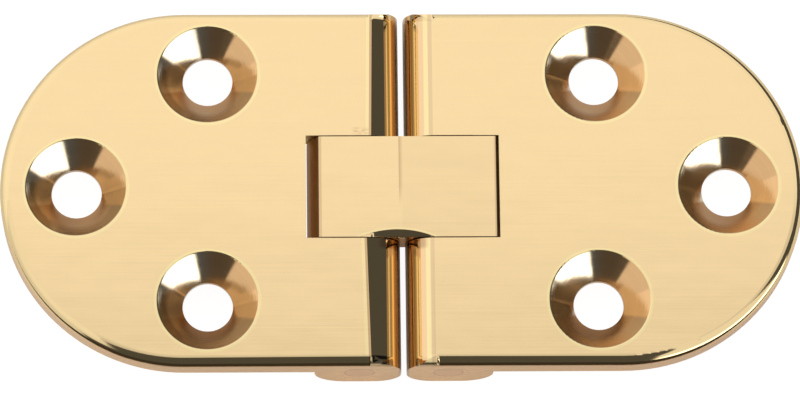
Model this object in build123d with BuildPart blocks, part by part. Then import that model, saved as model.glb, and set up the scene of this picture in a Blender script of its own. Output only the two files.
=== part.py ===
"""Counter flap hinge, laid flat: two leaves joined by one short link on two pins.

+Z is up, X runs along the hinge and Y across it. The origin lies midway between the leaves, on
the plane of the knuckles' undersides. Each leaf turns up about its own pin, so that the right
leaf can stand on edge and then lie face down on the left one.
"""

import math
import os

from build123d import *

os.makedirs("parts", exist_ok=True)

# Leaves: flat plates with a full-round outer end
hinge_length = 80.0
leaf_width = 36.55
leaf_thickness = 3.0
leaf_gap = 0.55
edge_rounding = 1.0
inner_rounding = 2.95

# Pins: each runs across the whole leaf, flush at both sides
pin_spacing = 8.8
pin_depth = 3.3
pin_radius = 1.5
pin_clearance = 0.05

# Knuckles: the deep bar under each leaf's inner edge
knuckle_wall = 1.9
knuckle_reach = 8.85
knuckle_inner_radius = 2.8
knuckle_outer_radius = 3.2

# Link: a bar with a flat top and a lobe round each pin, its right tail longer than its left
link_width = 10.4
link_recess = 0.25
web_thickness = 3.9
left_tail_radius = 5.1
right_tail_radius = 5.95
tail_corner_radius = 1.2
end_edge_rounding = 0.25
side_clearance = 0.1
tail_clearance = 0.23

# Link's near top edge between the leaves, worn round by the buffing wheel
worn_length = 7.4
worn_width = 0.75
worn_radius = 0.8
worn_place = -0.6

# Screw holes: a pair across each leaf and one at its round end
screw_radius = 2.5
countersink_angle = 90.0
screw_land = 0.5
rim_rounding = 0.2
end_hole_margin = 7.55
side_hole_setback = 13.05
side_hole_margin = 6.575

# Heights above the knuckles' undersides
pin_height = knuckle_wall + pin_radius
top_height = pin_height + pin_depth
underside_height = top_height - leaf_thickness
link_bottom = link_recess

# Places along X on the right leaf
inner_face = leaf_gap / 2
pin_place = pin_spacing / 2
end_centre = hinge_length / 2 - leaf_width / 2
end_hole_place = hinge_length / 2 - end_hole_margin
side_hole_place = end_hole_place - side_hole_setback

# Fits that follow from the sizes above
slot_width = link_width + 2 * side_clearance
slot_radius = right_tail_radius + tail_clearance
link_bore_radius = pin_radius + pin_clearance
countersink_radius = screw_radius + (leaf_thickness - screw_land) * math.tan(
    math.radians(countersink_angle / 2)
)
side_hole_across = leaf_width / 2 - side_hole_margin


# Right leaf: plate and knuckle, then the rounded edges, then the cuts
with BuildPart() as leaf_right:
    with BuildSketch(Plane.XY.offset(underside_height)):
        with Locations(((inner_face + end_centre) / 2, 0)):
            Rectangle(end_centre - inner_face, leaf_width)
        with Locations((end_centre, 0)):
            Circle(leaf_width / 2)
        # The circle's inner half never reaches past the straight inner edge
        with Locations((inner_face, 0)):
            Rectangle(hinge_length, leaf_width, align=(Align.MIN, Align.CENTER), mode=Mode.INTERSECT)
    extrude(amount=leaf_thickness)

    with BuildSketch(Plane.XZ) as knuckle_side:
        with Locations((inner_face, 0)):
            Rectangle(knuckle_reach - inner_face, top_height, align=Align.MIN)
        bottom_corners = knuckle_side.vertices().group_by(Axis.Y)[0].sort_by(Axis.X)
        fillet(bottom_corners[0], knuckle_inner_radius)
        bottom_corners = knuckle_side.vertices().group_by(Axis.Y)[0].sort_by(Axis.X)
        fillet(bottom_corners[-1], knuckle_outer_radius)
    extrude(amount=leaf_width / 2, both=True)

    top_edges = leaf_right.edges().group_by(Axis.Z)[-1]
    fillet(top_edges.sort_by(Axis.X)[1:], edge_rounding)

    with BuildSketch(Plane.XZ):
        with BuildLine():
            rounding_arc = CenterArc(
                (inner_face + inner_rounding, top_height - inner_rounding), inner_rounding, 90, 90
            )
            Polyline(rounding_arc @ 1, (inner_face, top_height), rounding_arc @ 0)
        make_face()
    extrude(amount=leaf_width / 2, both=True, mode=Mode.SUBTRACT)

    # Slot for the link, its end wall swept about the pin
    with BuildSketch(Plane.XZ):
        with Locations((pin_place, pin_height)):
            Circle(slot_radius)
            Rectangle(pin_place, 2 * slot_radius, align=(Align.MAX, Align.CENTER))
    extrude(amount=slot_width / 2, both=True, mode=Mode.SUBTRACT)

    with BuildSketch(Plane.XZ):
        with Locations((pin_place, pin_height)):
            Circle(pin_radius)
    extrude(amount=leaf_width / 2, both=True, mode=Mode.SUBTRACT)

    with Locations(
        (end_hole_place, 0, top_height),
        (side_hole_place, side_hole_across, top_height),
        (side_hole_place, -side_hole_across, top_height),
    ):
        CounterSinkHole(screw_radius, countersink_radius, counter_sink_angle=countersink_angle)
    top_face = leaf_right.faces().filter_by(Plane.XY).sort_by(Axis.Z)[-1]
    fillet(top_face.inner_wires().edges(), rim_rounding)

leaf_right.part.label = "leaf_right"
export_step(leaf_right.part, "parts/leaf_right.step")


# Left leaf: the right one's mirror image
with BuildPart() as leaf_left:
    mirror(leaf_right.part, about=Plane.YZ)

leaf_left.part.label = "leaf_left"
export_step(leaf_left.part, "parts/leaf_left.step")


# Link: lobes round the pins, an arch under the web between them
lobe_radius = pin_height - link_bottom
web_drop = web_thickness - pin_depth
arch_radius = (pin_place**2 + web_drop**2 - lobe_radius**2) / (2 * (lobe_radius - web_drop))
arch_height = pin_height - web_drop - arch_radius
arch_angle = math.degrees(math.atan2(pin_height - arch_height, pin_place))
left_top_angle = math.degrees(math.asin(pin_depth / left_tail_radius))
left_bottom_angle = math.degrees(math.asin(lobe_radius / left_tail_radius))
right_top_angle = math.degrees(math.asin(pin_depth / right_tail_radius))
right_bottom_angle = math.degrees(math.asin(lobe_radius / right_tail_radius))

with BuildPart() as link:
    with BuildSketch(Plane.XZ) as link_side:
        with BuildLine():
            right_tail = CenterArc(
                (pin_place, pin_height),
                right_tail_radius,
                -right_bottom_angle,
                right_bottom_angle + right_top_angle,
            )
            left_tail = CenterArc(
                (-pin_place, pin_height),
                left_tail_radius,
                180 - left_top_angle,
                left_top_angle + left_bottom_angle,
            )
            right_lobe = CenterArc((pin_place, pin_height), lobe_radius, 180 + arch_angle, 90 - arch_angle)
            left_lobe = CenterArc((-pin_place, pin_height), lobe_radius, 270, 90 - arch_angle)
            CenterArc((0, arch_height), arch_radius, arch_angle, 180 - 2 * arch_angle)
            Line(right_tail @ 1, left_tail @ 0)
            Line(right_lobe @ 1, right_tail @ 0)
            Line(left_lobe @ 0, left_tail @ 1)
        make_face()
        lowest = link_side.vertices().group_by(Axis.Y)[0].sort_by(Axis.X)
        fillet([lowest[0], lowest[-1]], tail_corner_radius)
        with Locations((-pin_place, pin_height), (pin_place, pin_height)):
            Circle(link_bore_radius, mode=Mode.SUBTRACT)
    extrude(amount=link_width / 2, both=True)

    top_edges = link.edges().group_by(Axis.Z)[-1]
    fillet(top_edges.filter_by(Axis.Y), end_edge_rounding)

    # The rim of a wide wheel, hollowed to the worn edge's own rounding, run into the near edge
    wheel_radius = ((worn_length / 2) ** 2 + worn_width**2) / (2 * worn_width)
    worn_back = worn_width - link_width / 2
    wheel_centre = worn_back - wheel_radius
    with BuildSketch(Plane.YZ.offset(worn_place)):
        with BuildLine():
            worn_arc = CenterArc((worn_back, top_height - worn_radius), worn_radius, 90, 90)
            Polyline(worn_arc @ 1, (worn_back - worn_radius, top_height), worn_arc @ 0)
        make_face()
    revolve(
        axis=Axis((worn_place, wheel_centre, 0), (0, 0, 1)),
        mode=Mode.SUBTRACT,
    )

link.part.label = "link"
export_step(link.part, "parts/link.step")


# Pins: plain rods, pressed in the knuckles and free in the link
for side, pin_name in ((-1, "pin_left"), (1, "pin_right")):
    with BuildPart() as pin:
        with BuildSketch(Plane.XZ):
            with Locations((side * pin_place, pin_height)):
                Circle(pin_radius)
        extrude(amount=leaf_width / 2, both=True)

    pin.part.label = pin_name
    export_step(pin.part, f"parts/{pin_name}.step")
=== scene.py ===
import math

import bpy
from mathutils import Matrix, Vector


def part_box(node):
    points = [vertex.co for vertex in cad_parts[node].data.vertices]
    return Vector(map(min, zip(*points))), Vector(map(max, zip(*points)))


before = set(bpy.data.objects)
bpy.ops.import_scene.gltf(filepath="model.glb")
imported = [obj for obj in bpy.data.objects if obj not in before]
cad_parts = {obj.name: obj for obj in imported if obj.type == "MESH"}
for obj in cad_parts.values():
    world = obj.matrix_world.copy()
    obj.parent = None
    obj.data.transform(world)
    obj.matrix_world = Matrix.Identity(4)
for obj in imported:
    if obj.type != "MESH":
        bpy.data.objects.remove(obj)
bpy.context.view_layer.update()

MM = 0.001
DEGREES = math.degrees(1)

# Sizes of the hinge that the finishes follow, in millimetres
LEAF_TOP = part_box("leaf_right")[1].z / MM
HINGE_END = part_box("leaf_right")[1].x / MM
LEAF_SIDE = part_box("leaf_right")[1].y / MM
LINK_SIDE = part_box("link")[1].y / MM

# The same sizes as in the hinge's own drawing
END_CENTRE = HINGE_END - LEAF_SIDE
END_HOLE = HINGE_END - 7.55
SIDE_HOLE = END_HOLE - 13.05
SIDE_HOLE_ACROSS = LEAF_SIDE - 6.575
COUNTERSINK_RADIUS = 5.0
LEAF_THICKNESS = 3.0
LEAF_INNER_FACE = 0.275
EDGE_ROUNDING = 1.0
SLOT_SIDE = LINK_SIDE + 0.1
SLOT_RADIUS = 6.18
PIN_PLACE = 4.4
PIN_HEIGHT = 3.4
PIN_RADIUS = 1.5
LINK_MIDDLE = 0.53
LINK_REACH = 8.82
WORN_PLACE = -0.6
WORN_WIDTH = 0.75
WORN_WHEEL_RADIUS = 9.5

# Lines along the joint, in millimetres from the leaf's inner face: where each one starts, is full,
# begins to fade and has gone
# The right leaf's painted shade line
RIGHT_SHADE_LINE = (0.64, 0.72, 0.94, 1.06)
# The right leaf's painted reflection lines along its rounding
RED_LINE = (1.2, 1.45, 1.85, 2.0)
PALE_LINE = (1.85, 2.0, 2.3, 2.42)
DULL_LINE = (2.34, 2.46, 2.74, 2.86)
LEFT_DARK_LINE = (1.2, 1.27, 1.43, 1.5)
FILED_FOOT = (1.2, 1.4, 2.9, 3.05)

# The faint painted shadow line across the link's middle, and the inset of the filed strip's painted dark
# foot, in the same way
MIDDLE_LINE = (-0.42, -0.36, -0.34, 0.08)
FOOT_INSET = (0.1, 0.2, 0.85, 1.0)

# Where the relief along the joint begins and ends, in millimetres from the leaf's inner face
ROLLED_FROM = 0.7
ROLLED_TO = 1.45
FILED_FROM = 1.5

# The middle of the smudge beside the slot on the left leaf
SMUDGE_X = -4.0
SMUDGE_Y = 5.75

# How high each grain stands, in millimetres
WAVES_RELIEF = 0.02
BUFFING_RELIEF = 0.0012
LINISHING_RELIEF = 0.004
RINGS_RELIEF = 0.004
DRAWING_RELIEF = 0.004
MILLING_RELIEF = 0.006

# Brass by its finish, as the light comes back from it, and the painted highlights, reflections and shade
# laid over it
POLISHED = (0.96, 0.72, 0.39)
# Painted highlight: pale on edges, round countersinks and along lines
PALE_HIGHLIGHT = (1.0, 0.82, 0.42)
# Painted reflections along the right leaf's joint
DULL_REFLECTION = (0.80, 0.58, 0.33)
RED_REFLECTION = (0.93, 0.63, 0.35)
# Painted shadow line across the link's middle
SHADOW_LINE_BROWN = (0.66, 0.45, 0.24)
LINISHED = (1.0, 0.655, 0.34)
ROD_END = (0.93, 0.60, 0.34)
TURNED = (0.98, 0.60, 0.29)
# Painted highlight on a countersink's left wall
PALE_WALL_HIGHLIGHT = (0.93, 0.78, 0.56)
# Painted shade on a countersink's near side, darker still towards the throat
NEAR_SIDE_SHADE = (0.58, 0.40, 0.23)
THROAT_SHADE = (0.57, 0.32, 0.145)
MILLED = (0.80, 0.55, 0.31)
# Brown, also laid on as painted shade at the gap and the slot's near corner
BROWN_AND_SHADE = (0.56, 0.35, 0.19)
# Painted light on the slot's end
LIT_SLOT_END = (1.0, 0.84, 0.46)
# Painted reflection of the white floor on the gap's face
GAP_FLOOR_REFLECTION = (0.90, 0.80, 0.68)
# Amber: a painted reflection by the joint, and painted light at the top of the link's sides
AMBER = (0.72, 0.42, 0.16)
AMBER_LIT = (1.0, 0.60, 0.22)
# A dark line, painted shade on the right leaf
DARK_LINE_BROWN = (0.24, 0.18, 0.10)
# Painted dark reflection at the filed strip's foot
DARK_FOOT_REFLECTION = (0.09, 0.07, 0.045)

# The floor: its white, the share of it that glows to the eye and in the brass, and the painted dark
# reflection that only the brass sees, which fades in over these millimetres in front of the hinge
WHITE = (1.0, 1.0, 1.0)
PAPER = (0.9, 0.9, 0.9)
GLOW_TO_EYE = 0.76
GLOW_IN_METAL = 0.14
GLOW_STRENGTH = 1.24
FLOOR_DARK_IN_BRASS = (0.06, 0.05, 0.04)
DARK_IN_BRASS_FADE = (3, 6)


class Amount:
    """A number on a shader socket. Sums and products of such numbers add Math nodes."""

    def __init__(self, bench, socket):
        self.bench = bench
        self.socket = socket

    def maths(self, operation, *terms):
        node = self.bench.node("ShaderNodeMath", {"operation": operation}, dict(enumerate(terms)))
        return Amount(self.bench, node.outputs[0])

    def __add__(self, other):
        return self.maths("ADD", self, other)

    def __radd__(self, other):
        return self.maths("ADD", other, self)

    def __sub__(self, other):
        return self.maths("SUBTRACT", self, other)

    def __rsub__(self, other):
        return self.maths("SUBTRACT", other, self)

    def __mul__(self, other):
        return self.maths("MULTIPLY", self, other)

    def __rmul__(self, other):
        return self.maths("MULTIPLY", other, self)

    def __abs__(self):
        return self.maths("ABSOLUTE", self)

    def least(self, other):
        return self.maths("MINIMUM", self, other)

    def most(self, other):
        return self.maths("MAXIMUM", self, other)

    def within(self, low, high):
        return self.most(low).least(high)

    def root(self):
        return self.maths("SQRT", self)

    def ramp(self, low, high):
        """0 below low and 1 above high, smooth between them. With low above high it falls instead."""
        node = self.bench.node(
            "ShaderNodeMapRange",
            {"interpolation_type": "SMOOTHSTEP"},
            {"Value": self, "From Min": low, "From Max": high},
        )
        return Amount(self.bench, node.outputs[0])

    def band(self, start, full, fading, gone):
        """1 from full to fading, and 0 before start and past gone."""
        return self.ramp(start, full) * self.ramp(gone, fading)

    def near(self, centre, gone, full):
        """1 nearer the centre than full, and 0 further from it than gone."""
        return abs(self - centre).ramp(gone, full)


class Bench:
    """One node tree, with the one way in which its nodes are made."""

    def __init__(self, tree):
        self.tree = tree
        tree.nodes.clear()

    def node(self, kind, settings=None, sockets=None):
        node = self.tree.nodes.new(kind)
        for name, value in (settings or {}).items():
            setattr(node, name, value)
        for name, value in (sockets or {}).items():
            source = getattr(value, "socket", value)
            if isinstance(source, bpy.types.NodeSocket):
                self.tree.links.new(source, node.inputs[name])
            else:
                node.inputs[name].default_value = source
        return node

    def amount(self, node, output):
        return Amount(self, node.outputs[output])

    def split(self, vector):
        """A vector's three numbers."""
        parts = self.node("ShaderNodeSeparateXYZ", {}, {"Vector": vector})
        return [self.amount(parts, axis) for axis in "XYZ"]

    def blend(self, first, second, share):
        """The first colour, with as much of the second as the share says."""
        colours = [(*colour, 1) if isinstance(colour, tuple) else colour for colour in (first, second)]
        mix = self.node(
            "ShaderNodeMix",
            {"data_type": "RGBA"},
            {0: share, 6: colours[0], 7: colours[1]},
        )
        return mix.outputs[2]

    def darken(self, colour, keep):
        """The colour times a number."""
        scale = self.node("ShaderNodeVectorMath", {"operation": "SCALE"}, {0: colour, "Scale": keep})
        return scale.outputs[0]

    def place(self):
        """X, Y and Z on the piece, in millimetres."""
        spot = self.node("ShaderNodeTexCoord").outputs["Object"]
        return [metres * (1 / MM) for metres in self.split(spot)]

    def speckle(self, x, y, z, detail=2.0, roughness=0.5):
        """Noise about 0.5, over the three numbers that are given."""
        spot = self.node("ShaderNodeCombineXYZ", {}, {"X": x, "Y": y, "Z": z})
        noise = self.node(
            "ShaderNodeTexNoise",
            {},
            {"Vector": spot.outputs[0], "Scale": 1.0, "Detail": detail, "Roughness": roughness},
        )
        return self.amount(noise, "Fac")

    def metal(self, colour, roughness, height):
        """Bare metal with its colour, its roughness and the relief of its surface in millimetres."""
        relief = self.node("ShaderNodeBump", {}, {"Strength": 1.0, "Distance": MM, "Height": height})
        skin = self.node(
            "ShaderNodeBsdfPrincipled",
            {},
            {"Base Color": colour, "Metallic": 1.0, "Roughness": roughness, "Normal": relief.outputs[0]},
        )
        self.node("ShaderNodeOutputMaterial", {}, {"Surface": skin.outputs[0]})


def finish(name):
    """A new material, and the bench for its nodes."""
    material = bpy.data.materials.new(name)
    material.use_nodes = True
    return material, Bench(material.node_tree)


# World: polished brass shows all of it. There is a wide soft ceiling behind, a pale wall on the
# left and a lamp at the front right. Straight in front and far to the right it is dark.

def studio_world():
    world = bpy.data.worlds.new("studio")
    bpy.context.scene.world = world
    world.use_nodes = True
    bench = Bench(world.node_tree)
    across, back, up = bench.split(bench.node("ShaderNodeTexCoord").outputs["Generated"])
    height = up.maths("ARCSINE", up) * DEGREES
    back_tilt = back.maths("ARCTAN2", back, up) * DEGREES
    right_tilt = across.maths("ARCTAN2", across, up) * DEGREES

    def spread(right, behind, towards):
        """Degrees off a heading, about the point so far to the right and behind, one unit up."""
        turn = math.radians(towards)
        aside = across - right * up
        beyond = back - behind * up
        along = aside * math.cos(turn) + beyond * math.sin(turn)
        off = beyond * math.cos(turn) - aside * math.sin(turn)
        return abs(off.maths("ARCTAN2", off, along)) * DEGREES

    # The ceiling brightens towards the back, and dims a little to the right and near the horizon
    ceiling = spread(0.86, 0.17, 147).ramp(60, 56)
    falling = 0.545 + 0.21 * back_tilt.ramp(-18, 10) + 0.25 * back_tilt.ramp(13, 17.5)
    sky = ceiling * falling * (1 - 0.1 * right_tilt.ramp(-2, 22)) * (0.86 + 0.14 * height.ramp(8, 36))

    # The wall is narrower low down
    off_left = spread(-0.12, 0.1, 180)
    left = off_left.ramp(66, 60) * off_left.ramp(51, 46).most(height.ramp(18, 24))
    wall = left * (0.68 + 0.22 * height.ramp(15, 60))

    # The lamp's top is low at the right and overhead further round, and drops again before the front
    off_right = spread(0.02, 0.29, 0)
    lamp_top = (3.8 * (84.7 - off_right)).least((2.5 * (off_right - 11)).most(18))
    lamp = spread(0.2, 0.06, -90).ramp(84, 80.5) * off_right.ramp(76, 73) * (lamp_top - height).ramp(-4, 4)
    hot = spread(0.2, 0.06, -42).ramp(35, 26) * height.ramp(20, 16)

    # A pale line runs along the horizon, except in front
    horizon = height.ramp(3.5, 2.5) * back.ramp(-0.35, -0.05)
    grey = (0.075 + 0.93 * sky.most(wall)).most(lamp * (0.86 + 1.9 * hot)).most(horizon)
    shade = bench.node("ShaderNodeBackground", {}, {"Color": (*WHITE, 1), "Strength": grey})
    bench.node("ShaderNodeOutputWorld", {}, {"Surface": shade.outputs[0]})


# Floor: white to the eye, and dimmer in the brass, where the shadow under the leaves shows and a painted
# dark reflection, seen only in the brass, begins a little in front of the hinge

def white_floor():
    half = 3.0
    mesh = bpy.data.meshes.new("floor")
    corners = [(-half, -half, 0), (half, -half, 0), (half, half, 0), (-half, half, 0)]
    mesh.from_pydata(corners, [], [(0, 1, 2, 3)])
    floor = bpy.data.objects.new("floor", mesh)
    bpy.context.scene.collection.objects.link(floor)
    material, bench = finish("white_floor")
    forward = -1 * bench.place()[1] - LEAF_SIDE
    ray = bench.node("ShaderNodeLightPath")
    in_metal = bench.amount(ray, "Is Glossy Ray")
    glowing = GLOW_TO_EYE * bench.amount(ray, "Is Camera Ray") + GLOW_IN_METAL * in_metal
    paper = bench.node("ShaderNodeBsdfDiffuse", {}, {"Color": (*PAPER, 1)})
    glow = bench.node("ShaderNodeEmission", {}, {"Color": (*WHITE, 1), "Strength": GLOW_STRENGTH})
    white = bench.node("ShaderNodeMixShader", {}, {0: glowing, 1: paper.outputs[0], 2: glow.outputs[0]})
    dark = bench.node("ShaderNodeBsdfDiffuse", {}, {"Color": (*FLOOR_DARK_IN_BRASS, 1)})
    # Painted reflection: to the brass alone the floor turns dark in front of the hinge
    painted_dark_reflection = in_metal * forward.ramp(*DARK_IN_BRASS_FADE)
    mix = bench.node("ShaderNodeMixShader", {}, {0: painted_dark_reflection, 1: white.outputs[0], 2: dark.outputs[0]})
    bench.node("ShaderNodeOutputMaterial", {}, {"Surface": mix.outputs[0]})
    mesh.materials.append(material)


# Finishes: each piece's own surfaces, with their painted highlights, reflections and shade, told apart by
# their place on it

def reach(first, second):
    """How far off a point is that lies so far to one side and so far to the other."""
    return (first * first + second * second).root()


def buffing_lines(bench, x, y, z):
    """Fine lines of the polishing wheel, along the hinge."""
    return bench.speckle(x * 0.05, y * 5, z * 5, 4.0, 0.65)


def linishing_lines(bench, x, y, z):
    """Level lines of the belt, round the edge."""
    return bench.speckle(x * 0.15, y * 0.15, z * 9, 4.0, 0.6)


def leaf_finish(name, side):
    """Polished on top, turned in the countersinks, linished round the edge and milled underneath.

    The side is 1 for the right leaf and -1 for the left one.
    """
    material, bench = finish(name)
    x, y, z = bench.place()
    along = abs(x)
    depth = LEAF_TOP - z

    # Distances in from the outline and the inner face, and off the nearest hole and the pin
    inset = LEAF_SIDE - reach((along - END_CENTRE).most(0), y)
    from_joint = along - LEAF_INNER_FACE
    at_end = along.maths("GREATER_THAN", along, (SIDE_HOLE + END_HOLE) / 2)
    hole_right = side * (along - SIDE_HOLE - (END_HOLE - SIDE_HOLE) * at_end)
    hole_back = y - y.maths("SIGN", y) * SIDE_HOLE_ACROSS * (1 - at_end)
    hole = reach(hole_right, hole_back)
    off_pin = reach(along - PIN_PLACE, z - PIN_HEIGHT)

    # The surfaces: countersinks, edge, underside, and what the slot and the gap hide
    cone = hole.ramp(COUNTERSINK_RADIUS + 0.04, COUNTERSINK_RADIUS - 0.04)
    cone = cone * depth.ramp(LEAF_THICKNESS - 0.03, LEAF_THICKNESS - 0.1)
    edge = inset.ramp(0.09, 0.03) * (1 - cone)
    under = depth.ramp(LEAF_THICKNESS - 0.12, LEAF_THICKNESS - 0.03) * (1 - cone)
    slot = abs(y).ramp(SLOT_SIDE + 0.05, SLOT_SIDE) * off_pin.ramp(SLOT_RADIUS + 0.06, SLOT_RADIUS + 0.02)
    hidden = slot.most(from_joint.ramp(0.3, 0.12))

    # In a countersink the left wall gets a painted highlight and the near side painted shade, darkest
    # towards the throat, with a painted dark crescent on the left leaf
    painted_pale_wall = hole_right.ramp(0.8, -0.8)
    painted_near_shade = (hole_back + 0.4 * abs(hole_right)).ramp(0.2, -0.3)
    painted_crescent = hole.ramp(3.9, 4.3) * hole_right.ramp(-2.0, -2.8) * hole_back.ramp(1.0, 0.5) * (side < 0)

    # Buffing lines run along the hinge; the wheel leaves wide soft waves too
    buffing = buffing_lines(bench, x, y, z)
    waves = bench.speckle(x * 0.09, y * 0.16, float(side))
    clouding = bench.speckle(x * 0.35, y * 0.5, 7.0 + side, 4.0)
    linishing = linishing_lines(bench, x, y, z)
    milling = bench.speckle(x * 0.4, y * 4, z * 4, 3.0)
    rings = bench.speckle(hole * 5, depth * 0.2, 0.0, 3.0, 0.6)

    # Painted highlight: the polish is painted paler towards the edge and in a ring round each countersink
    highlight_ring = hole.ramp(COUNTERSINK_RADIUS + 0.4, COUNTERSINK_RADIUS + 0.2) * depth.ramp(0.5, 0.3)
    colour = bench.blend(POLISHED, PALE_HIGHLIGHT, (inset.ramp(1.3, 0.5) * 0.25).most(highlight_ring * 0.75))
    colour = bench.darken(colour, 0.955 + 0.05 * buffing + 0.04 * clouding)

    # The left leaf is filed along the joint, in a strip that is wider on the near half
    near_half = y.maths("LESS_THAN", y, 0)
    filed_line = 2.9 - 0.0145 * y + near_half * (0.6 + 0.0415 * y)
    if side > 0:
        # Painted reflections along the rounding at the joint: a redder line, then a pale one, then a dull
        # one
        colour = bench.blend(colour, PALE_HIGHLIGHT, from_joint.band(*PALE_LINE) * 0.9)
        colour = bench.blend(colour, DULL_REFLECTION, from_joint.band(*DULL_LINE) * 0.8)
        colour = bench.blend(colour, RED_REFLECTION, from_joint.band(*RED_LINE) * 0.85)
        # Painted shade in a line along the rounding and next to the gap
        dark_line = from_joint.band(*RIGHT_SHADE_LINE).most(from_joint.ramp(0.46, 0.4) * 0.6)
        amber = bench.blend(AMBER, AMBER_LIT, from_joint.ramp(0.42, 0.5))
    else:
        # The strip's painted dark foot, a painted dark reflection in the near rounding, a brown burr and a
        # painted highlight line past it, and a smudge at the slot's far corner
        past_strip = from_joint - filed_line
        painted_dark_foot = inset.band(*FOOT_INSET) * from_joint.band(*FILED_FOOT) * near_half
        smudge = x.near(SMUDGE_X, 1.15, 0.7) * y.near(SMUDGE_Y, 0.5, 0.2)
        smudge = smudge * bench.speckle(x * 1.6, y * 4, 3.0).ramp(0.38, 0.62)
        colour = bench.blend(colour, DARK_FOOT_REFLECTION, painted_dark_foot)
        colour = bench.blend(colour, PALE_HIGHLIGHT, past_strip.near(0.4, 0.22, 0.1) * 0.7)
        colour = bench.blend(colour, BROWN_AND_SHADE, (past_strip.near(0.12, 0.15, 0.07) * 0.75).most(smudge * 0.4))
        dark_line = from_joint.band(*LEFT_DARK_LINE)
        amber = AMBER

    # By the joint the brass is painted amber, a painted reflection, with a dark line that is painted shade
    # on the right leaf, and brown painted shade at the gap and at the slot's near corner
    corner_shade = from_joint.ramp(2.4, 1.6) * y.near(-SLOT_SIDE - 0.45, 0.75, 0.3)
    colour = bench.blend(colour, amber, from_joint.ramp(0.8, 0.65) * 0.9)
    colour = bench.blend(colour, DARK_LINE_BROWN, dark_line * 0.85)
    colour = bench.blend(colour, BROWN_AND_SHADE, (from_joint.ramp(0.5, 0.3) * 0.4).most(corner_shade * 0.75))

    # The countersink's painted highlight, painted shade and painted dark crescent
    cone_colour = bench.blend(TURNED, PALE_WALL_HIGHLIGHT, painted_pale_wall)
    cone_colour = bench.blend(cone_colour, bench.blend(NEAR_SIDE_SHADE, THROAT_SHADE, hole.ramp(3.9, 3.1)), painted_near_shade * 0.9)
    cone_colour = bench.darken(cone_colour, (0.9 + 0.2 * rings) * (1 - 0.35 * painted_crescent))
    edge_colour = bench.darken(LINISHED, 0.9 + 0.2 * linishing)
    under_colour = bench.darken(MILLED, 0.86 + 0.28 * milling)
    # Brown in the slot and gap, with painted light on the slot's end and a painted reflection of the floor
    # high on the gap's face
    hidden_colour = bench.blend(BROWN_AND_SHADE, LIT_SLOT_END, slot * from_joint.ramp(6.5, 7.5))
    hidden_colour = bench.blend(hidden_colour, GAP_FLOOR_REFLECTION, from_joint.ramp(0.3, 0.1) * depth.ramp(6, 4))
    hidden_colour = bench.darken(hidden_colour, 0.75 + 0.5 * milling)
    colour = bench.blend(colour, cone_colour, cone)
    colour = bench.blend(colour, under_colour, under)
    colour = bench.blend(colour, edge_colour, edge)
    colour = bench.blend(colour, hidden_colour, hidden)

    roughness = 0.045 + 0.03 * buffing + 0.02 * clouding
    roughness = roughness + cone * (0.03 + 0.04 * rings + 0.06 * painted_near_shade)
    roughness = roughness + edge * (0.14 + 0.12 * linishing)
    roughness = roughness + under * (0.16 + 0.14 * milling) * (1 - edge)
    roughness = roughness + hidden * (0.2 + 0.15 * milling)

    relief = (BUFFING_RELIEF * buffing + WAVES_RELIEF * waves) * (1 - cone) + cone * RINGS_RELIEF * rings
    relief = relief + edge * LINISHING_RELIEF * linishing
    relief = relief + under.most(hidden) * MILLING_RELIEF * milling
    # The rounding along the joint is steeper than an arc towards the gap
    rolled = from_joint.within(ROLLED_FROM, ROLLED_TO) - ROLLED_FROM
    relief = relief + 0.18 * rolled * rolled
    # Beside it the near and far edges keep their square corner
    short = EDGE_ROUNDING - inset.within(0.12, EDGE_ROUNDING)
    drop = EDGE_ROUNDING - (EDGE_ROUNDING * EDGE_ROUNDING - short * short).root()
    relief = relief + drop * from_joint.ramp(3.15, 2.9) * depth.ramp(0.9, 0.6)
    if side < 0:
        # The filed strip drops from its line to the gap
        filed = from_joint.within(FILED_FROM, filed_line) - FILED_FROM
        whole = filed_line - FILED_FROM
        relief = relief + 0.155 * (filed * filed - whole * whole)
    bench.metal(colour, roughness, relief)
    return material


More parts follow.
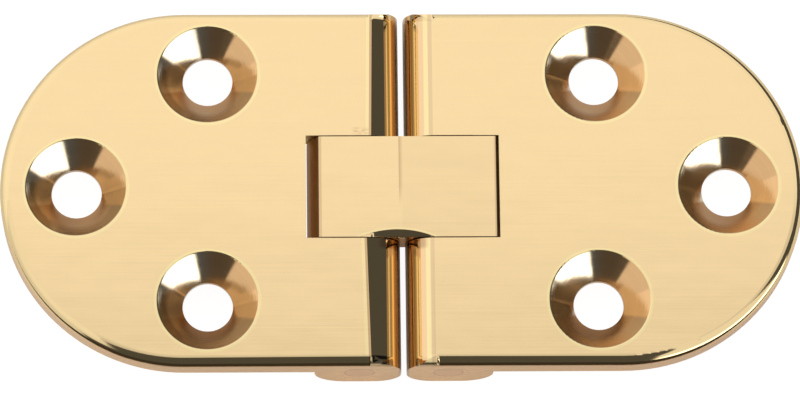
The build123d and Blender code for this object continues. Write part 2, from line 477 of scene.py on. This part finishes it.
def link_finish():
    """Polished on top, with a painted shadow line at its middle and painted dark reflections at its ends,
    and left dull at its ends and sides, whose brown is painted lighter towards the top.
    """
    material, bench = finish("link_brass")
    x, y, z = bench.place()
    depth = LEAF_TOP - z
    buffing = buffing_lines(bench, x, y, z)
    waves = bench.speckle(x * 0.12, y * 0.2, 5.0)
    milling = bench.speckle(x * 0.5, y * 0.5, z * 8, 4.0, 0.6)

    # How far in the worn edge a point lies, inside the round of the wheel that wore it
    wheel_centre = WORN_WIDTH - LINK_SIDE - WORN_WHEEL_RADIUS
    into_worn = WORN_WHEEL_RADIUS - reach(x - WORN_PLACE, y - wheel_centre)
    worn = into_worn.ramp(-0.04, 0.0) * depth.ramp(0.95, 0.7)
    polished = depth.ramp(0.12, 0.03).most(worn)

    # Painted shadow in a line at the step across the middle, fading towards the near side
    line = x.band(*MIDDLE_LINE) * y.ramp(-2.4, 0.6)
    right_half = x.ramp(-0.2, 0.0)
    dark_ends = abs(x - LINK_MIDDLE).ramp(LINK_REACH - 0.26, LINK_REACH - 0.16)
    colour = bench.darken(POLISHED, 0.965 + 0.05 * buffing - 0.03 * right_half)
    colour = bench.blend(colour, SHADOW_LINE_BROWN, line * 0.85)
    # Painted highlight along the brink of the worn edge
    colour = bench.blend(colour, PALE_HIGHLIGHT, into_worn.near(-0.12, 0.12, 0.05) * 0.8)
    # Painted dark reflection on the link's ends
    colour = bench.blend(colour, BROWN_AND_SHADE, dark_ends * 0.5)
    # The milled sides are brown, with painted light turning them amber towards the top
    side_colour = bench.blend(BROWN_AND_SHADE, AMBER, depth.ramp(3.5, 1.5) * (1 - dark_ends))
    side_colour = bench.darken(side_colour, 0.95 + 0.5 * milling)
    colour = bench.blend(side_colour, colour, polished)

    roughness = 0.05 + 0.03 * buffing + (1 - polished) * (0.18 + 0.16 * milling)
    relief = BUFFING_RELIEF * buffing + WAVES_RELIEF * waves + 0.008 * right_half
    relief = relief + (1 - polished) * MILLING_RELIEF * milling
    # The worn edge drops sharply at its brink, but runs out flat at its left end
    flat_end = x.ramp(-2.9, -3.3)
    brink = into_worn.within(0, 0.35)
    shallow = into_worn.within(0, 0.6)
    relief = relief + 0.42 * brink * (brink - 0.7) * (1 - flat_end) + 0.62 * shallow * shallow * flat_end
    bench.metal(colour, roughness, relief)
    return material


def pin_finish():
    """Drawn rod, its ends linished with the leaf and a dark line round them."""
    material, bench = finish("pin_brass")
    x, y, z = bench.place()
    off_axis = reach(abs(x) - PIN_PLACE, z - PIN_HEIGHT)
    end = abs(y).ramp(LEAF_SIDE - 0.06, LEAF_SIDE - 0.02)
    seam = off_axis.ramp(PIN_RADIUS - 0.14, PIN_RADIUS - 0.04) * end
    drawing = bench.speckle(x * 6, y * 0.1, z * 6, 3.0)
    linishing = linishing_lines(bench, x, y, z)
    end_colour = bench.darken(ROD_END, 0.9 + 0.2 * linishing)
    colour = bench.blend(bench.darken(MILLED, 0.8 + 0.3 * drawing), end_colour, end)
    colour = bench.blend(colour, BROWN_AND_SHADE, seam * 0.7)
    roughness = 0.22 + 0.12 * drawing + 0.06 * linishing
    relief = DRAWING_RELIEF * drawing * (1 - end) + LINISHING_RELIEF * linishing * end
    bench.metal(colour, roughness, relief)
    return material


# Camera: high above the hinge and a little in front of it, as in the photograph

def camera():
    tilt = math.radians(16.44)
    pan = math.radians(-1.86)
    roll = math.radians(0.706)
    distance = 0.5085
    aim = Vector((-0.295 * MM, -1.432 * MM, LEAF_TOP * MM))
    frame_width = 79.444 * MM
    back = Vector((math.sin(pan) * math.cos(tilt), -math.sin(tilt), math.cos(pan) * math.cos(tilt)))
    right = Vector((0, 1, 0)).cross(back).normalized()
    up = back.cross(right)
    turn = Matrix((right, up, back)).transposed().to_4x4() @ Matrix.Rotation(-roll, 4, "Z")
    data = bpy.data.cameras.new("camera")
    data.sensor_width = 36.0
    data.lens = data.sensor_width * distance / frame_width
    data.clip_start = 0.01
    data.clip_end = 50.0
    holder = bpy.data.objects.new("camera", data)
    bpy.context.scene.collection.objects.link(holder)
    holder.matrix_world = Matrix.Translation(aim + back * distance) @ turn
    bpy.context.scene.camera = holder


bpy.context.scene.view_settings.view_transform = "Standard"
studio_world()
white_floor()
camera()

FINISHES = {
    "leaf_left": leaf_finish("left_leaf_brass", -1),
    "leaf_right": leaf_finish("right_leaf_brass", 1),
    "link": link_finish(),
    "pin_left": pin_finish(),
    "pin_right": pin_finish(),
}
for name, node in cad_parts.items():
    for place in node.material_slots:
        place.material = FINISHES[name]
